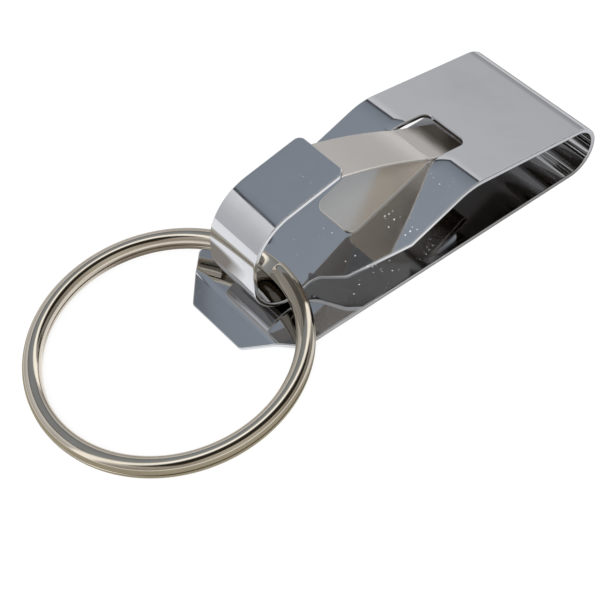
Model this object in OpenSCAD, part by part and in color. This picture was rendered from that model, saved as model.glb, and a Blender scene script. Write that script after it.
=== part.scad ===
// Belt key clip: a folded spring steel clip with a hook, a hairpin leaf that
// closes the hook as its gate, and a split ring for the keys.
// The clip stands on its fold and on its flared lip, as it lies on a table.
// X runs along the strip with the ring towards -X, and Z points up.

/* [Strip] */
// Width of the steel strip
strip_w = 19; // [16:0.5:24]
// Thickness of the steel strip
strip_t = 0.6; // [0.5:0.05:0.7]

/* [Back plate] */
// Distance from the fold to the bend of the lip
back_l = 47.2; // [45:0.1:52]
// Slope at which the back plate rises from the fold, in degrees
back_rise = 1.6; // [1:0.1:2]
// Length of the flared lip beyond its bend
lip_l = 3.2; // [3:0.1:5]
// Radius of the bend of the lip, to the middle of the sheet
lip_r = 2; // [1:0.1:3]
// Length of the cut corners at the free end
corner_l = 4.9; // [4:0.1:7]
// Width of the free end between its cut corners
end_w = 8.6; // [7:0.1:12]
// Rounding of the corners at the free end
end_r = 0.7; // [0.3:0.1:1.2]

/* [Fold] */
// Outer height of the fold that sits over the belt
fold_h = 7.2; // [6:0.1:9]

/* [Front plate] */
// Slope at which the front plate rises from the fold, in degrees
front_rise = 8.6; // [7:0.1:10]
// Distance from the fold to the crest
crest_l = 20.3; // [17:0.1:24]
// Radius of the crest, to the middle of the sheet
crest_r = 8; // [5:0.5:9]
// Gap between the back plate and the bottom of the hook, which grips the belt
grip_gap = 0.6; // [0.3:0.1:1.5]
// Length of the taper beyond the full width
taper_l = 7.2; // [5:0.1:9]
// Width at the lower end of the taper
taper_w = 13.5; // [11:0.1:15]
// Length of the shoulder between the taper and the neck
shoulder_l = 2.3; // [1.5:0.1:3]
// Straight stretch between the neck and the bottom bend of the hook
neck_l = 0.9; // [0.5:0.1:1.5]
// Rounding of the outer corner of the shoulder
shoulder_r = 1.2; // [0.5:0.1:1.5]
// Rounding of the inner corner at the neck
neck_r = 2; // [0.5:0.1:2]

/* [Slot] */
// Distance from the crest back to the near edge of the slot
slot_back = 4.8; // [4:0.1:6]
// Length of the slot
slot_l = 6; // [5.5:0.1:6.5]
// Rounding of the corners of the slot
slot_r = 1; // [0.4:0.1:1.5]

/* [Hook] */
// Width of the hook
hook_w = 7.7; // [6.5:0.1:9]
// Distance from the fold to the back of the hook
hook_l = 47.2; // [42:0.1:52]
// Height of the hook from its bottom to the edge of its tip
hook_h = 14.6; // [13:0.1:17]
// Outer radius of the bottom bend of the hook
hook_r = 5; // [4:0.1:6]
// Outer radius of the top bend of the hook
top_r = 6.7; // [4:0.1:8]
// Distance from the back of the hook to the edge of its tip
tip_l = 13.3; // [10:0.1:15]
// Slope at which the tip rises towards its edge, in degrees
tip_rise = 9.7; // [6:0.1:12]
// Rounding of the corners of the hook tip
tip_r = 0.9; // [0.5:0.1:2]

/* [Spring leaf] */
// Width of the leaf
leaf_w = 6.3; // [5.5:0.1:7]
// Thickness of the leaf
leaf_t = 0.3; // [0.2:0.05:0.4]
// Distance of the leaf from the middle line of the strip, as it lies in the slot
leaf_side = 0.2; // [0:0.05:0.2]
// Length of the lower leg down the slope, from the slot
leg_l = 12.2; // [8:0.1:14]
// Rounding of the corners of the lower leg
leg_r = 1.3; // [0.5:0.1:2]
// Radius of the hump where the lower leg dips into the slot
hump_r = 0.5; // [0.4:0.1:1]
// Angle through which the lower leg turns down at the hump, in degrees
hump_a = 50; // [45:1:52]
// Distance that the crown of the leaf reaches under the front plate
crown_tuck = 1; // [0.8:0.1:1.5]
// Rise of the gate above the straight line between its ends
gate_arch = 0.36; // [0.2:0.02:1]
// Distance that the gate reaches under the hook tip
gate_lap = 0.7; // [0.5:0.1:1]
// Rounding of the corners of the gate
gate_r = 0.6; // [0.3:0.1:1]

/* [Split ring] */
// Outer diameter of the split ring
ring_d = 32.3; // [30:0.1:34]
// Width of the ring's wire, from the hole to the rim
wire_w = 2.1; // [1.9:0.1:2.6]
// Height of the two turns of wire together
ring_h = 2.5; // [2.2:0.1:3]
// Rounding of the wire's edges
wire_r = 0.55; // [0.2:0.05:0.55]
// Half of the angle in which the wire steps from one turn to the other
jog_a = 12; // [10:1:14]
// Angle between the step and each cut end
cut_a = 3.5; // [2:0.5:10]
// Distance of the resting wire from the lowest point of the hook, towards the fold
ring_shift = 0.3; // [0.2:0.05:0.6]
// Distance of the ring's centre from the middle line of the strip, as the ring lies
ring_side = 0.6; // [0:0.1:1]
// Angle by which the ring is turned from where its step lies in the hook
ring_turn = 13.5; // [0:0.5:20]

/* [Clearances] */
// Room at each side of the leaf in the slot
slot_room = 0.25; // [0.15:0.05:0.4]
// Gap between the crown of the leaf and the underside of the front plate
crown_gap = 1; // [0.8:0.1:1.2]
// Gap between the two legs of the leaf at the hump
leaf_gap = 0.06; // [0.04:0.02:0.2]
// Gap between the gate and the hook tip
gate_gap = 0.15; // [0.1:0.05:0.3]
// Gap at the line on which the gate flexes
flex_gap = 0.05; // [0.03:0.01:0.08]
// Gap between the turning wire and the bottom of the hook
ring_gap = 0.3; // [0.2:0.05:0.4]
// Gap between the two turns of the ring
turn_gap = 0.04; // [0.02:0.02:0.1]

/* [Hidden] */
// Steps in each rounded corner of an outline
corner_steps = 8;
// Steps in each rounded edge of the ring's wire
edge_steps = 3;
// Slices of each turn of the ring, and of the step between the turns
turn_steps = 66;
jog_steps = 10;
// Largest angle between two lines of a bend, in degrees
bend_step = 5;
// Fewest steps in a bend
least_steps = 8;
// How far a cutting shape runs past what it cuts
overrun = 1;

// Direction from point a to point b in degrees
function heading(a, b) = atan2(b[1] - a[1], b[0] - a[0]);

// Angle through which a path turns at point b, positive to the left
function turn(a, b, c) =
    let (d = heading(b, c) - heading(a, b))
    d > 180 ? d - 360 : d < -180 ? d + 360 : d;

// Distance from corner b to the ends of its bend of radius r
function setback(a, b, c, r) = r * tan(abs(turn(a, b, c)) / 2);

// Point at distance d from point a on the way to point b
function towards(a, b, d) = a + d * (b - a) / norm(b - a);

// Centre of the bend of radius r at corner b
function bend_centre(a, b, c, r) =
    let (e = (a - b) / norm(a - b) + (c - b) / norm(c - b))
    b + e / norm(e) * r / cos(turn(a, b, c) / 2);

// Points of the bend of radius r at corner b
function corner_points(a, b, c, r) =
    let (m = bend_centre(a, b, c, r), t = turn(a, b, c))
    let (s = heading(a, b) - sign(t) * 90)
    [for (i = [0:corner_steps]) let (g = s + t * i / corner_steps) m + r * [cos(g), sin(g)]];

// Closed outline whose corners are rounded by the radii, where 0 keeps a corner sharp
function rounded(p, radii) =
    let (n = len(p))
    [for (i = [0:n - 1]) each radii[i] == 0 ? [p[i]]
        : corner_points(p[(i + n - 1) % n], p[i], p[(i + 1) % n], radii[i])];

// Middle of the sheet in the fold
fold_c = fold_h / 2;
fold_r = fold_c - strip_t / 2;
back_start = [-fold_c - fold_r * sin(back_rise), fold_c - fold_r * cos(back_rise)];
front_start = [-fold_c + fold_r * sin(front_rise), fold_c + fold_r * cos(front_rise)];

// Height of the middle of the back plate and of the front plate at a place x
function back_z(x) = back_start[1] - (x - back_start[0]) * tan(back_rise);
function front_z(x) = front_start[1] - (x - front_start[0]) * tan(front_rise);

// Bottom bend of the hook, just above the back plate
hook_x = -hook_l + strip_t / 2;
hook_bend_r = hook_r - strip_t / 2;
hook_c_x = -hook_l + hook_r;
hook_bottom = back_z(hook_c_x) + strip_t / 2 / cos(back_rise) + grip_gap;
hook_c = [hook_c_x, hook_bottom + hook_r];

// Slope of the plate from the crest down to that bend, and its height at a place x
crest = [-crest_l, front_z(-crest_l)];
slope_fall = atan2(crest[1] - hook_c[1], crest[0] - hook_c[0]) + asin(hook_bend_r / norm(crest - hook_c));
function slope_z(x) = crest[1] + (x + crest_l) * tan(slope_fall);

// Tip of the hook, and its height at a place x
tip_at = hook_l - tip_l;
tip_h = hook_bottom + hook_h;
function tip_z(x) = tip_h - strip_t / 2 / cos(tip_rise) + (x + tip_at) * tan(tip_rise);

// Corners of the sheet's middle line
fold_low = [-strip_t / 2, back_z(-strip_t / 2)];
fold_high = [-strip_t / 2, front_z(-strip_t / 2)];
hook_low = [hook_x, slope_z(hook_x)];
hook_high = [hook_x, tip_z(hook_x)];
tip_end = [-tip_at, tip_z(-tip_at)];
lip_bend = [-back_l, back_z(-back_l)];

// Slope of the lip, found in steps, at which its lower edge meets the table
function lip_fall(a, n) = n == 0 ? a
    : lip_fall(asin((lip_bend[1] - strip_t / 2 * cos(a)) / lip_l), n - 1);
lip_a = lip_fall(back_rise, 8);
lip_end = lip_bend - lip_l * [cos(lip_a), sin(lip_a)];

// Top bend of the hook, no larger than the back and the tip of the hook leave room for
back_room = norm(hook_high - hook_low) - setback(crest, hook_low, hook_high, hook_bend_r);
tip_room = min(back_room, norm(tip_end - hook_high) - tip_r);
top_bend_r = min(top_r - strip_t / 2, tip_room / tan(abs(turn(hook_low, hook_high, tip_end)) / 2));

// Where the tapered front plate hands over to the strip of the hook
hook_start = towards(hook_low, crest, setback(crest, hook_low, hook_high, hook_bend_r));

// Outline of the front plate seen from above
neck_turn_a = atan2((taper_w - hook_w) / 2, shoulder_l);
neck_x = hook_start[0] + neck_l + neck_r * tan(neck_turn_a / 2);
shoulder_x = neck_x + shoulder_l;
full_x = shoulder_x + taper_l;

// Spring leaf: corners of its middle line, from the end of its lower leg
slot_at = crest_l - slot_back;
slot_x = -slot_at - slot_l;
leg_rise = (strip_t + leaf_t) / 2 / cos(slope_fall);
leg_x = slot_x - leg_l * cos(slope_fall);
leg_end = [leg_x, slope_z(leg_x) + leg_rise];
hump_x = slot_x + hump_r * tan(hump_a / 2) * cos(slope_fall);
hump = [hump_x, slope_z(hump_x) + leg_rise];
under_z = front_z(-slot_at) - strip_t / 2 / cos(front_rise) - crown_gap;
flex = [slot_x, hump[1] + leaf_t + leaf_gap + (hump_x - slot_x) * tan(hump_a / 2)];
root_end = [-slot_at, under_z - leaf_t / 2 / cos(slope_fall)];
crown_x = -slot_at + crown_tuck;
crown_high = [crown_x, root_end[1] - crown_tuck * tan(-heading(flex, root_end))];
crown_low = [crown_x, hump[1] - (crown_x - hump_x) * tan(hump_a - slope_fall)];
crown_r = (crown_high[1] - crown_low[1]) / (tan(abs(turn(hump, crown_low, crown_high)) / 2)
    + tan(abs(turn(crown_low, crown_high, flex)) / 2));

// Gate: an arc from the flex line to a point just under the hook tip
tip_down = [sin(tip_rise), -cos(tip_rise)];
gate_end = towards(tip_end, hook_high, gate_lap) + (strip_t / 2 + gate_gap + leaf_t / 2) * tip_down;
gate_chord = norm(gate_end - flex);
gate_bend_r = (gate_chord * gate_chord / 4 + gate_arch * gate_arch) / 2 / gate_arch;
gate_a = 2 * asin(gate_chord / 2 / gate_bend_r);

// Split ring: the wire turns about a pin line in the bottom of the hook
wire_h = (ring_h - turn_gap) / 2;
ring_mid_r = (ring_d - wire_w) / 2;
wire_reach = norm([wire_w / 2 - wire_r, ring_h / 2 - wire_r]) + wire_r;
ring_pin = hook_c + [ring_shift, ring_gap + wire_reach - hook_r + strip_t];
ring_far = 2 * ring_mid_r + wire_w / 2;
ring_tilt = asin(ring_pin[1] / norm([ring_far, ring_h / 2])) - atan2(ring_h / 2, ring_far);

// The origin is below the middle of the whole length and of the ring, on the table
rim_reach = (ring_far - wire_r) * cos(ring_tilt) + (ring_h / 2 - wire_r) * sin(ring_tilt) + wire_r;
origin_x = (ring_pin[0] - rim_reach) / 2;

// Points on one side of a sheet path, at distance d to its left
function side_points(p, radii, d) =
    let (last = len(p) - 1)
    [for (i = [0:last])
        let (a = i == 0 ? heading(p[0], p[1]) : heading(p[i - 1], p[i]))
        let (normal = [-sin(a), cos(a)])
        each i == 0 || i == last ? [p[i] + d * normal]
            : side_arc(bend_centre(p[i - 1], p[i], p[i + 1], radii[i]),
                radii[i] - d * sign(turn(p[i - 1], p[i], p[i + 1])),
                a, turn(p[i - 1], p[i], p[i + 1]))];

// Points of an arc about m that starts along the heading a and turns by t
function side_arc(m, r, a, t) =
    let (n = max(least_steps, ceil(abs(t) / bend_step)))
    [for (k = [0:n]) let (g = a - sign(t) * 90 + t * k / n) m + r * [cos(g), sin(g)]];

// Points in the order of a closed outline from the two sides of a sheet
function closed(left, right) =
    concat(left, [for (i = [len(right) - 1:-1:0]) right[i]]);

// Upright side view spread over the width w
module across(outline, w) {
    rotate([90, 0, 0])
        linear_extrude(w, center = true)
            polygon(outline);
}

// Sheet of width w and thickness t along a path of straight runs and round bends
module sheet(p, radii, w, t) {
    across(closed(side_points(p, radii, t / 2), side_points(p, radii, -t / 2)), w);
}

// Upright prism over an outline, tall enough for the whole clip
module over(outline) {
    translate([0, 0, -overrun])
        linear_extrude(tip_h + 2 * overrun)
            polygon(outline);
}

// Back plate with its lip and cut corners
module back_plate() {
    a = end_w / 2;
    b = strip_w / 2;
    intersection() {
        sheet([lip_end, lip_bend, back_start], [0, lip_r, 0], strip_w, strip_t);
        over(rounded([[0, b], [lip_end[0] + corner_l, b], [lip_end[0], a],
            [lip_end[0], -a], [lip_end[0] + corner_l, -b], [0, -b]],
            [0, end_r, end_r, end_r, end_r, 0]));
    }
}

// Fold and front plate down to the neck, without the slot
module front_plate() {
    h = hook_w / 2;
    s = taper_w / 2;
    b = strip_w / 2;
    intersection() {
        sheet([back_start, fold_low, fold_high, crest, hook_start],
            [0, fold_r, fold_r, crest_r, 0], strip_w, strip_t);
        over(rounded([[overrun, b], [full_x, b], [shoulder_x, s], [neck_x, h],
            [-hook_l, h], [-hook_l, -h], [neck_x, -h], [shoulder_x, -s], [full_x, -b], [overrun, -b]],
            [0, 0, shoulder_r, neck_r, 0, 0, neck_r, shoulder_r, 0, 0]));
    }
}

// Slot through which the leaf is hooked
module slot() {
    b = leaf_w / 2 + slot_room;
    translate([0, 0, fold_c])
        linear_extrude(tip_h)
            polygon(rounded([[-slot_at, b], [slot_x, b], [slot_x, -b], [-slot_at, -b]],
                [slot_r, slot_r, slot_r, slot_r]));
}

// Hook with its free tip
module hook() {
    h = hook_w / 2;
    intersection() {
        sheet([hook_start, hook_low, hook_high, tip_end], [0, hook_bend_r, top_bend_r, 0],
            hook_w, strip_t);
        union() {
            over(rounded([[-hook_l - overrun, h], [-hook_l - overrun, -h], [-tip_at, -h], [-tip_at, h]],
                [0, 0, tip_r, tip_r]));
            translate([-hook_l, -hook_w / 2, 0])
                cube([hook_l - tip_at, hook_w, fold_h]);
        }
    }
}

module clip_body() {
    color("gainsboro")
        translate([-origin_x, ring_side, 0])
            union() {
                back_plate();
                difference() {
                    front_plate();
                    slot();
                }
                hook();
            }
}

module gate_anchor() {
    b = leaf_w / 2;
    root = towards(flex, root_end, leaf_t / 2 + flex_gap);
    color("antiquewhite")
        translate([-origin_x, ring_side - leaf_side, 0])
            intersection() {
                sheet([leg_end, hump, crown_low, crown_high, root],
                    [0, hump_r, crown_r, crown_r, 0], leaf_w, leaf_t);
                over(rounded([[0, b], [leg_end[0], b], [leg_end[0], -b], [0, -b]],
                    [0, leg_r, leg_r, 0]));
            }
}

module gate_leaf() {
    b = leaf_w / 2;
    a = heading(flex, gate_end) - gate_a / 2;
    centre = flex + gate_bend_r * [-sin(a), cos(a)];
    nose = side_arc(flex, leaf_t / 2, a - 180, -180);
    color("antiquewhite")
        translate([-origin_x, ring_side - leaf_side, 0])
            intersection() {
                across(concat(nose, closed(side_arc(centre, gate_bend_r - leaf_t / 2, a, gate_a),
                    side_arc(centre, gate_bend_r + leaf_t / 2, a, gate_a))), leaf_w);
                over(rounded([[0, b], [gate_end[0], b], [gate_end[0], -b], [0, -b]],
                    [0, gate_r, gate_r, 0]));
            }
}

// Section of the ring's wire at height z, from its middle radius
function wire_section(z) =
    let (x = wire_w / 2 - wire_r, y = wire_h / 2 - wire_r)
    [for (k = [0:3]) for (i = [0:edge_steps])
        let (g = 90 * (k + i / edge_steps))
        [ring_mid_r + x * (k == 0 || k == 3 ? 1 : -1) + wire_r * cos(g),
            z + y * (k < 2 ? 1 : -1) + wire_r * sin(g)]];

// Height of the wire along its step, with a share u of the way done
function jog_z(u) = (wire_h + turn_gap) * (u * u * (3 - 2 * u) - 1 / 2);

module split_ring() {
    turn_a = 360 - 2 * jog_a - cut_a;
    wire = concat(
        [for (i = [0:turn_steps - 1]) [jog_a + cut_a + turn_a * i / turn_steps, jog_z(0)]],
        [for (i = [0:jog_steps]) [360 + jog_a * (2 * i / jog_steps - 1), jog_z(i / jog_steps)]],
        [for (i = [1:turn_steps]) [jog_a + turn_a * i / turn_steps, jog_z(1)]]);
    n = len(wire_section(0));
    last = len(wire) - 1;
    points = [for (s = wire) for (q = wire_section(s[1]))
        [q[0] * cos(s[0]), q[0] * sin(s[0]), q[1]]];
    sides = [for (i = [0:last - 1]) for (k = [0:n - 1])
        let (a = i * n + k, b = i * n + (k + 1) % n)
        each [[a, b, a + n], [b, b + n, a + n]]];
    ends = [[for (k = [n - 1:-1:0]) k], [for (k = [0:n - 1]) last * n + k]];
    color("lightgray")
        translate([ring_pin[0] - origin_x, 0, ring_pin[1]])
            rotate([0, -ring_tilt, 0])
                translate([-ring_mid_r, 0, 0])
                    rotate([0, 0, ring_turn])
                        polyhedron(points, concat(sides, ends));
}

clip_body();
gate_anchor();
gate_leaf();
split_ring();
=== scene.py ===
"""Belt key clip with a sprung gate and a split ring, dressed for one photograph.

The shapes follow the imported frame: metres, the ring towards -X, Z up from the table.
Every sheet piece is one strip that is run and bent along its middle line, as the real
one is bent from its blank.
"""
from __future__ import annotations

import logging
from collections.abc import Callable
from dataclasses import dataclass
from enum import Enum
from math import asin, atan2, ceil, cos, dist, hypot, pi, radians, sin, tan

import bpy
from bpy.types import ID, Material, Node, NodeSocket, NodeTree, Object
from mathutils import Matrix, Vector


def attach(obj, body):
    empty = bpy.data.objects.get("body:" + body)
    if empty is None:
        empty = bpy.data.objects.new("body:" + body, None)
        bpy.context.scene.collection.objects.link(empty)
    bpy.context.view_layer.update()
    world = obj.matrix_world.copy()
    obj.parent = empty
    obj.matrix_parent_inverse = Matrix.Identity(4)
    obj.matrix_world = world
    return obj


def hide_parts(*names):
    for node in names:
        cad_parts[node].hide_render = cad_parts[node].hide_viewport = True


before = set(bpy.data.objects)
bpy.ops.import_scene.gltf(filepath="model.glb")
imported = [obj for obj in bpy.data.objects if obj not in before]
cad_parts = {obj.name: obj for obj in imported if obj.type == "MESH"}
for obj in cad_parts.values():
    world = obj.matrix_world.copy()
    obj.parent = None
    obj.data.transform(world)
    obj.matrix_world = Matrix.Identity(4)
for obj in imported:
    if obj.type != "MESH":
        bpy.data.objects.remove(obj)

LOG = logging.getLogger("belt_key_clip")
MM = 0.001
ORIGIN = (0, 0, 0)

Point = tuple[float, float]
Span = tuple[float, float]
Triple = tuple[float, float, float]
Profile = list[Point]
Tones = list[tuple[float, Triple]]
Feed = NodeSocket | tuple | float

# Angles of the meshes in radians, and faces across a rounded corner.
SHARP = radians(40)
SMOOTH = radians(35)
FINE = radians(2.5)
CORNER_SEGMENTS = 8

# Tolerances: in millimetres, in millimetres or as a ratio, and in metres.
STEADY = 1e-3
SAME = 1e-6
NEAR = 0.03 * MM

# Scale, detail and roughness of each noise, and the range of it that leaves a mark.
SCUFF_NOISE, SCUFF_RANGE = (900, 6, 0.7), (0.6, 0.82)
SMUDGE_NOISE, SMUDGE_RANGE = (120, 5, 0.6), (0.46, 0.72)
DUST_NOISE, DUST_RANGE = (230, 3, 0.5), (0.52, 0.62)
SPECK_SCALE, SPECK_RANGE = 1500, (0.20, 0.09)
WAVE_NOISE = (70, 1.5, 0.4)
GRAIN_NOISE = (1000, 4, 0.6)

# Colours of dust and of painted shade, where dust lies on the slope, and what scuffs add to the
# roughness.
DUST = (0.80, 0.81, 0.82)
PAINTED_SHADE = (0.10, 0.08, 0.06)
DUSTY_PLACE = (0.004, -0.005, 0.0072)
DUSTY_REACH = (0.0125, 0.0085)
SCUFF_GLOSS = 0.12

# Tones of the studio: by height, from side to side, and of the wall and the curtain in front.
WHITE = (1.0, 1.0, 1.0)
LIT_WALL = (1.10, 1.06, 0.95)
SAND_WALL = (0.70, 0.66, 0.57)
DARK_CLOTH = (0.09, 0.07, 0.05)
HEIGHT_TONES = [(0.0, (0.60, 0.60, 0.62)), (0.20, (0.62, 0.62, 0.64)), (0.45, (0.72, 0.72, 0.74)),
                (0.66, (0.90, 0.905, 0.92)), (0.688, WHITE), (0.70, (0.40, 0.40, 0.42)),
                (0.708, (0.06, 0.06, 0.07)), (0.722, (0.08, 0.08, 0.10)),
                (0.745, (0.29, 0.32, 0.36)), (0.84, (0.35, 0.39, 0.44)), (1.0, (0.48, 0.53, 0.58))]
SIDE_TONES = [(0.0, WHITE), (0.80, (0.82, 0.82, 0.82)), (1.0, (0.60, 0.60, 0.60))]
WALL_TONES = [(0.0, LIT_WALL), (0.13, SAND_WALL), (0.55, (0.70, 0.68, 0.64)), (0.66, WHITE)]
CURTAIN_TONES = [(0.0, LIT_WALL), (0.19, SAND_WALL), (0.27, DARK_CLOTH), (0.60, DARK_CLOTH),
                 (0.64, WHITE)]
LAMP_STRIP = (1.5, 1.5, 1.5)
SOFT_LIGHT = (0.5, 0.5, 0.5)

# Directions in which the tones turn, the curtain hangs and the lamp strip lies.
LEAN = 0.1
SIDE_REACH = (-0.6, 0.9)
AHEAD_REACH = (-1.0, 0.5)
FAR = (2, 3)
CURTAIN_Z = ((0.48, 0.60), FAR)
CURTAIN_X = ((-0.72, -0.52), FAR)
STRIP_Y = ((-0.02, 0.08), (0.24, 0.36))

# Light that meets metal again is lifted once, and dimmed at each meeting until so many more.
SECOND_MEETING = (0.95, 0.93, 0.86)
LIFT = 0.4
MEETINGS = 3.2

# Tones of the table as the metal sees it, with painted shade round and inside the ring and a
# painted shadow under the clip, to the camera, and for its own shadow.
TABLE_TONES = [(0.0, (0.90, 0.90, 0.92)), (1.0, (0.58, 0.58, 0.60))]
ROUND_THE_RING = (0.30, 0.275, 0.195)
INSIDE_THE_RING = (0.14, 0.11, 0.08)
UNDER_THE_CLIP = (0.09, 0.075, 0.06)
TABLE_TO_CAMERA = (0.87, 0.87, 0.87)
TABLE_PAPER = (0.85, 0.85, 0.86)
TABLE_SHADE = (0.14, 0.14, 0.14)

# Places on the table in metres: where its tone turns, the clip's painted shadow, and the painted
# shade round and inside the ring.
TABLE_X = (0.012, 0.024)
SHADOW_X = ((-0.012, 0.0), (0.040, 0.060))
SHADOW_Y = ((-0.013, -0.008), (0.024, 0.034))
RING_CENTRE = (-0.0204, 0, 0)
RING_BAND = ((0.0145, 0.016), (0.027, 0.036))
RING_X = ((-1, -0.9), (-0.008, -0.002))
RING_INSIDE = (-0.0125, 0.0115, 0)
INSIDE_REACH = (0.0075, 0.0045)


class Body(Enum):
    """Bodies of the frame on which the pieces ride."""

    CLIP = "clip"
    GATE = "gate"
    RING = "ring"


class Slot(Enum):
    """Material slots of the record."""

    CLIP_STEEL = "clip_steel"
    LEAF_STEEL = "leaf_steel"
    RING_STEEL = "ring_steel"


def heading(a: Point, b: Point) -> float:
    """Direction of the way from a to b, in radians from the first axis."""
    return atan2(b[1] - a[1], b[0] - a[0])


def turn_at(a: Point, b: Point, c: Point) -> float:
    """Turn at b of the path from a over b to c, in radians and positive to the left."""
    t = heading(b, c) - heading(a, b)
    return (t + pi) % (2 * pi) - pi


def setback(a: Point, b: Point, c: Point, r: float) -> float:
    """Distance from the corner b of such a path to where its bend of radius r starts."""
    return r * tan(abs(turn_at(a, b, c)) / 2)


def onward(start: Point, direction: float, distance: float) -> Point:
    """Point that lies a distance from the start, which is negative to go back."""
    return (start[0] + distance * cos(direction), start[1] + distance * sin(direction))


def width_at(profile: Profile, x: float) -> float:
    """Half width of an outline at a place along the strip.

    Args:
        profile: The half outline.
        x: Place along the strip.

    Returns:
        The half width.
    """
    pts = sorted(profile, key=lambda p: p[0])
    if x <= pts[0][0]:
        return pts[0][1]
    for (x0, y0), (x1, y1) in zip(pts, pts[1:]):
        if x <= x1:
            return y0 if x1 - x0 < 1e-9 else y0 + (y1 - y0) * (x - x0) / (x1 - x0)
    return pts[-1][1]


@dataclass(frozen=True)
class FrameSize:
    """Where the strip's own coordinates lie in the frame, in millimetres."""

    origin_x: float = -36.5243
    side: float = 0.6

    def place(self, x: float, z: float, y: float = 0.0) -> Vector:
        """Point of the frame, in metres, at x from the fold, z above the table and y across."""
        return Vector(((x - self.origin_x) * MM, (y + self.side) * MM, z * MM))


@dataclass(frozen=True)
class ClipSize:
    """Sizes of the clip body in millimetres, the same as the part's."""

    strip_w: float = 19
    strip_t: float = 0.6
    back_l: float = 47.2
    back_rise: float = radians(1.6)
    lip_l: float = 3.2
    lip_r: float = 2
    corner_l: float = 4.9
    end_w: float = 8.6
    end_r: float = 0.7
    fold_h: float = 7.2
    front_rise: float = radians(8.6)
    crest_l: float = 20.3
    crest_r: float = 8
    grip_gap: float = 0.6
    taper_l: float = 7.2
    taper_w: float = 13.5
    shoulder_l: float = 2.3
    neck_l: float = 0.9
    shoulder_r: float = 1.2
    neck_r: float = 2
    slot_back: float = 4.8
    slot_l: float = 6
    slot_r: float = 1
    slot_w: float = 6.8
    hook_w: float = 7.7
    hook_l: float = 47.2
    hook_h: float = 14.6
    hook_r: float = 5
    top_r: float = 6.7
    tip_l: float = 13.3
    tip_rise: float = radians(9.7)
    tip_r: float = 0.9
    edge_r: float = 0.13

    @property
    def fold_r(self) -> float:
        """Radius of the fold to the middle of the sheet."""
        return (self.fold_h - self.strip_t) / 2

    @property
    def back_start(self) -> Point:
        """Where the back plate leaves the fold."""
        c = self.fold_h / 2
        return -c - self.fold_r * sin(self.back_rise), c - self.fold_r * cos(self.back_rise)

    @property
    def front_start(self) -> Point:
        """Where the front plate leaves the fold."""
        c = self.fold_h / 2
        return -c + self.fold_r * sin(self.front_rise), c + self.fold_r * cos(self.front_rise)

    def back_z(self, x: float) -> float:
        """Height of the back plate's middle at a place x."""
        return self.back_start[1] - (x - self.back_start[0]) * tan(self.back_rise)

    def front_z(self, x: float) -> float:
        """Height of the front plate's middle at a place x."""
        return self.front_start[1] - (x - self.front_start[0]) * tan(self.front_rise)

    @property
    def hook_bottom(self) -> float:
        """Height of the underside of the hook."""
        x = -self.hook_l + self.hook_r
        return self.back_z(x) + self.strip_t / 2 / cos(self.back_rise) + self.grip_gap

    @property
    def hook_c(self) -> Point:
        """Centre of the bottom bend of the hook."""
        return (-self.hook_l + self.hook_r, self.hook_bottom + self.hook_r)

    @property
    def hook_bend_r(self) -> float:
        """Radius of the bottom bend to the middle of the sheet."""
        return self.hook_r - self.strip_t / 2

    @property
    def crest(self) -> Point:
        """Corner between the front plate and the slope."""
        return (-self.crest_l, self.front_z(-self.crest_l))

    @property
    def slope_fall(self) -> float:
        """Angle at which the slope falls towards the hook."""
        dx = self.crest[0] - self.hook_c[0]
        dz = self.crest[1] - self.hook_c[1]
        return atan2(dz, dx) + asin(self.hook_bend_r / hypot(dx, dz))

    def slope_z(self, x: float) -> float:
        """Height of the slope's middle at a place x."""
        return self.crest[1] + (x + self.crest_l) * tan(self.slope_fall)

    @property
    def tip_x(self) -> float:
        """Place of the edge of the hook tip."""
        return -self.hook_l + self.tip_l

    def tip_z(self, x: float) -> float:
        """Height of the middle of the hook tip at a place x."""
        top = self.hook_bottom + self.hook_h - self.strip_t / 2 / cos(self.tip_rise)
        return top + (x - self.tip_x) * tan(self.tip_rise)

    @property
    def hook_low(self) -> Point:
        """Corner between the slope and the back of the hook."""
        x = -self.hook_l + self.strip_t / 2
        return (x, self.slope_z(x))

    @property
    def hook_high(self) -> Point:
        """Corner between the back of the hook and its tip."""
        x = self.hook_low[0]
        return (x, self.tip_z(x))

    @property
    def tip_end(self) -> Point:
        """Middle of the sheet at the edge of the tip."""
        return (self.tip_x, self.tip_z(self.tip_x))

    @property
    def top_bend_r(self) -> float:
        """Radius of the top bend to the middle of the sheet."""
        return self.top_r - self.strip_t / 2

    @property
    def lip_bend(self) -> Point:
        """Corner between the back plate and its lip."""
        return (-self.back_l, self.back_z(-self.back_l))

    @property
    def lip_end(self) -> Point:
        """Free end of the lip, at which its lower edge meets the table."""
        a = self.back_rise
        for _ in range(8):
            a = asin((self.lip_bend[1] - self.strip_t / 2 * cos(a)) / self.lip_l)
        return onward(self.lip_bend, a, -self.lip_l)

    @property
    def hook_start(self) -> Point:
        """Where the neck hands over to the bottom bend."""
        s = setback(self.crest, self.hook_low, self.hook_high, self.hook_bend_r)
        return onward(self.hook_low, heading(self.hook_low, self.crest), s)

    @property
    def neck_x(self) -> float:
        """Place of the neck's inner corner."""
        a = atan2((self.taper_w - self.hook_w) / 2, self.shoulder_l)
        return self.hook_start[0] + self.neck_l + self.neck_r * tan(a / 2)

    @property
    def slot_x(self) -> float:
        """Place of the slot's edge towards the hook."""
        return -(self.crest_l - self.slot_back) - self.slot_l


@dataclass(frozen=True)
class LeafSize:
    """Sizes of the spring leaf in millimetres, the same as the part's."""

    leaf_w: float = 6.3
    leaf_t: float = 0.3
    leaf_side: float = 0.2
    leg_l: float = 12.2
    leg_r: float = 1.3
    hump_r: float = 0.5
    hump_a: float = radians(50)
    crown_tuck: float = 1
    crown_gap: float = 1
    leaf_gap: float = 0.06
    gate_arch: float = 0.36
    gate_lap: float = 0.7
    gate_r: float = 0.6
    gate_gap: float = 0.15
    flex_gap: float = 0.05
    nose_l: float = 0.19
    nose_r: float = 0.12
    edge_r: float = 0.08


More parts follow.
